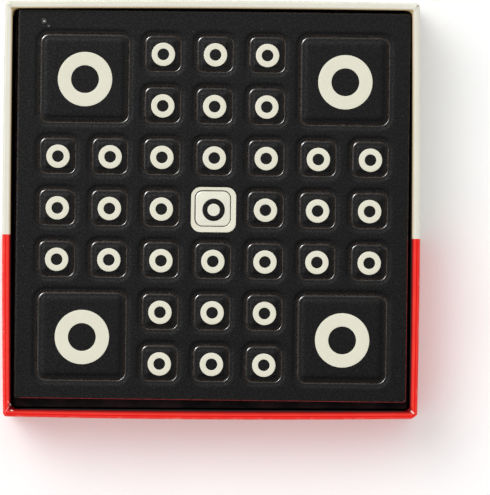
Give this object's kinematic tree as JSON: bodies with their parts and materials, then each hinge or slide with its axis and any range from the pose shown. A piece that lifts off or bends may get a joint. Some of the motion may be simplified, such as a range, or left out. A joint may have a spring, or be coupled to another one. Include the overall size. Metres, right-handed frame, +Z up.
{
  "type": "tic tac toe set",
  "caption": "Paper-wrapped box tray holding a die-cut board on a riser; lift-out tiles marked with rings fill a cross of small wells and large corner wells.",
  "frame": {"origin": "centre of the box's underside, on the surface that it stands on", "axes": "+X to the right and +Y to the back of the box, seen with the red end nearest; +Z up, the way the tiles and the board lift out"},
  "size_m": [0.15, 0.1504, 0.025],
  "materials": {
    "chipboard": "raw",
    "stay_tape": "raw",
    "cream_wrap": "matt laminated",
    "red_wrap": "matt laminated",
    "black_paper": "matt",
    "black_card": "matt",
    "black_laminate": "satin laminated",
    "greyboard": "raw",
    "cream_laminate": "satin laminated",
    "cream_ink": "printed",
    "black_ink": "printed"
  },
  "bodies": {
    "box": {"box_tray": "chipboard", "corner_stays": "stay_tape", "wrap_cream": "cream_wrap", "wrap_red": "red_wrap", "base_sheet": "black_paper", "wall_lining": "black_paper", "floor_lining": "black_paper", "board_riser": "black_card"},
    "board": {"board_face": "black_laminate", "board_backing": "greyboard", "board_back_paper": "black_paper"},
    "tile_row1_col3": {"tile_row1_col3": "black_laminate"},
    "tile_row1_col4": {"tile_row1_col4": "black_laminate"},
    "tile_row1_col5": {"tile_row1_col5": "black_laminate"},
    "tile_row2_col3": {"tile_row2_col3": "black_laminate"},
    "tile_row2_col4": {"tile_row2_col4": "black_laminate"},
    "tile_row2_col5": {"tile_row2_col5": "black_laminate"},
    "tile_row3_col1": {"tile_row3_col1": "black_laminate"},
    "tile_row3_col2": {"tile_row3_col2": "black_laminate"},
    "tile_row3_col3": {"tile_row3_col3": "black_laminate"},
    "tile_row3_col4": {"tile_row3_col4": "black_laminate"},
    "tile_row3_col5": {"tile_row3_col5": "black_laminate"},
    "tile_row3_col6": {"tile_row3_col6": "black_laminate"},
    "tile_row3_col7": {"tile_row3_col7": "black_laminate"},
    "tile_row4_col1": {"tile_row4_col1": "black_laminate"},
    "tile_row4_col2": {"tile_row4_col2": "black_laminate"},
    "tile_row4_col3": {"tile_row4_col3": "black_laminate"},
    "centre_tile": {"centre_tile": "cream_laminate"},
    "tile_row4_col5": {"tile_row4_col5": "black_laminate"},
    "tile_row4_col6": {"tile_row4_col6": "black_laminate"},
    "tile_row4_col7": {"tile_row4_col7": "black_laminate"},
    "tile_row5_col1": {"tile_row5_col1": "black_laminate"},
    "tile_row5_col2": {"tile_row5_col2": "black_laminate"},
    "tile_row5_col3": {"tile_row5_col3": "black_laminate"},
    "tile_row5_col4": {"tile_row5_col4": "black_laminate"},
    "tile_row5_col5": {"tile_row5_col5": "black_laminate"},
    "tile_row5_col6": {"tile_row5_col6": "black_laminate"},
    "tile_row5_col7": {"tile_row5_col7": "black_laminate"},
    "tile_row6_col3": {"tile_row6_col3": "black_laminate"},
    "tile_row6_col4": {"tile_row6_col4": "black_laminate"},
    "tile_row6_col5": {"tile_row6_col5": "black_laminate"},
    "tile_row7_col3": {"tile_row7_col3": "black_laminate"},
    "tile_row7_col4": {"tile_row7_col4": "black_laminate"},
    "tile_row7_col5": {"tile_row7_col5": "black_laminate"},
    "large_tile_back_left": {"large_tile_back_left": "black_laminate"},
    "large_tile_back_right": {"large_tile_back_right": "black_laminate"},
    "large_tile_front_left": {"large_tile_front_left": "black_laminate"},
    "large_tile_front_right": {"large_tile_front_right": "black_laminate"}
  },
  "joints": [
    {"name": "board_lift", "type": "slide", "parent": "box", "child": "board", "axis": [0, 0, 1], "range_m": [0, 0.03]},
    {"name": "tile_row1_col3_lift", "type": "slide", "parent": "board", "child": "tile_row1_col3", "axis": [0, 0, 1], "range_m": [0, 0.025]},
    {"name": "tile_row1_col4_lift", "type": "slide", "parent": "board", "child": "tile_row1_col4", "axis": [0, 0, 1], "range_m": [0, 0.025]},
    {"name": "tile_row1_col5_lift", "type": "slide", "parent": "board", "child": "tile_row1_col5", "axis": [0, 0, 1], "range_m": [0, 0.025]},
    {"name": "tile_row2_col3_lift", "type": "slide", "parent": "board", "child": "tile_row2_col3", "axis": [0, 0, 1], "range_m": [0, 0.025]},
    {"name": "tile_row2_col4_lift", "type": "slide", "parent": "board", "child": "tile_row2_col4", "axis": [0, 0, 1], "range_m": [0, 0.025]},
    {"name": "tile_row2_col5_lift", "type": "slide", "parent": "board", "child": "tile_row2_col5", "axis": [0, 0, 1], "range_m": [0, 0.025]},
    {"name": "tile_row3_col1_lift", "type": "slide", "parent": "board", "child": "tile_row3_col1", "axis": [0, 0, 1], "range_m": [0, 0.025]},
    {"name": "tile_row3_col2_lift", "type": "slide", "parent": "board", "child": "tile_row3_col2", "axis": [0, 0, 1], "range_m": [0, 0.025]},
    {"name": "tile_row3_col3_lift", "type": "slide", "parent": "board", "child": "tile_row3_col3", "axis": [0, 0, 1], "range_m": [0, 0.025]},
    {"name": "tile_row3_col4_lift", "type": "slide", "parent": "board", "child": "tile_row3_col4", "axis": [0, 0, 1], "range_m": [0, 0.025]},
    {"name": "tile_row3_col5_lift", "type": "slide", "parent": "board", "child": "tile_row3_col5", "axis": [0, 0, 1], "range_m": [0, 0.025]},
    {"name": "tile_row3_col6_lift", "type": "slide", "parent": "board", "child": "tile_row3_col6", "axis": [0, 0, 1], "range_m": [0, 0.025]},
    {"name": "tile_row3_col7_lift", "type": "slide", "parent": "board", "child": "tile_row3_col7", "axis": [0, 0, 1], "range_m": [0, 0.025]},
    {"name": "tile_row4_col1_lift", "type": "slide", "parent": "board", "child": "tile_row4_col1", "axis": [0, 0, 1], "range_m": [0, 0.025]},
    {"name": "tile_row4_col2_lift", "type": "slide", "parent": "board", "child": "tile_row4_col2", "axis": [0, 0, 1], "range_m": [0, 0.025]},
    {"name": "tile_row4_col3_lift", "type": "slide", "parent": "board", "child": "tile_row4_col3", "axis": [0, 0, 1], "range_m": [0, 0.025]},
    {"name": "centre_tile_lift", "type": "slide", "parent": "board", "child": "centre_tile", "axis": [0, 0, 1], "range_m": [0, 0.025]},
    {"name": "tile_row4_col5_lift", "type": "slide", "parent": "board", "child": "tile_row4_col5", "axis": [0, 0, 1], "range_m": [0, 0.025]},
    {"name": "tile_row4_col6_lift", "type": "slide", "parent": "board", "child": "tile_row4_col6", "axis": [0, 0, 1], "range_m": [0, 0.025]},
    {"name": "tile_row4_col7_lift", "type": "slide", "parent": "board", "child": "tile_row4_col7", "axis": [0, 0, 1], "range_m": [0, 0.025]},
    {"name": "tile_row5_col1_lift", "type": "slide", "parent": "board", "child": "tile_row5_col1", "axis": [0, 0, 1], "range_m": [0, 0.025]},
    {"name": "tile_row5_col2_lift", "type": "slide", "parent": "board", "child": "tile_row5_col2", "axis": [0, 0, 1], "range_m": [0, 0.025]},
    {"name": "tile_row5_col3_lift", "type": "slide", "parent": "board", "child": "tile_row5_col3", "axis": [0, 0, 1], "range_m": [0, 0.025]},
    {"name": "tile_row5_col4_lift", "type": "slide", "parent": "board", "child": "tile_row5_col4", "axis": [0, 0, 1], "range_m": [0, 0.025]},
    {"name": "tile_row5_col5_lift", "type": "slide", "parent": "board", "child": "tile_row5_col5", "axis": [0, 0, 1], "range_m": [0, 0.025]},
    {"name": "tile_row5_col6_lift", "type": "slide", "parent": "board", "child": "tile_row5_col6", "axis": [0, 0, 1], "range_m": [0, 0.025]},
    {"name": "tile_row5_col7_lift", "type": "slide", "parent": "board", "child": "tile_row5_col7", "axis": [0, 0, 1], "range_m": [0, 0.025]},
    {"name": "tile_row6_col3_lift", "type": "slide", "parent": "board", "child": "tile_row6_col3", "axis": [0, 0, 1], "range_m": [0, 0.025]},
    {"name": "tile_row6_col4_lift", "type": "slide", "parent": "board", "child": "tile_row6_col4", "axis": [0, 0, 1], "range_m": [0, 0.025]},
    {"name": "tile_row6_col5_lift", "type": "slide", "parent": "board", "child": "tile_row6_col5", "axis": [0, 0, 1], "range_m": [0, 0.025]},
    {"name": "tile_row7_col3_lift", "type": "slide", "parent": "board", "child": "tile_row7_col3", "axis": [0, 0, 1], "range_m": [0, 0.025]},
    {"name": "tile_row7_col4_lift", "type": "slide", "parent": "board", "child": "tile_row7_col4", "axis": [0, 0, 1], "range_m": [0, 0.025]},
    {"name": "tile_row7_col5_lift", "type": "slide", "parent": "board", "child": "tile_row7_col5", "axis": [0, 0, 1], "range_m": [0, 0.025]},
    {"name": "large_tile_back_left_lift", "type": "slide", "parent": "board", "child": "large_tile_back_left", "axis": [0, 0, 1], "range_m": [0, 0.025]},
    {"name": "large_tile_back_right_lift", "type": "slide", "parent": "board", "child": "large_tile_back_right", "axis": [0, 0, 1], "range_m": [0, 0.025]},
    {"name": "large_tile_front_left_lift", "type": "slide", "parent": "board", "child": "large_tile_front_left", "axis": [0, 0, 1], "range_m": [0, 0.025]},
    {"name": "large_tile_front_right_lift", "type": "slide", "parent": "board", "child": "large_tile_front_right", "axis": [0, 0, 1], "range_m": [0, 0.025]}
  ]
}
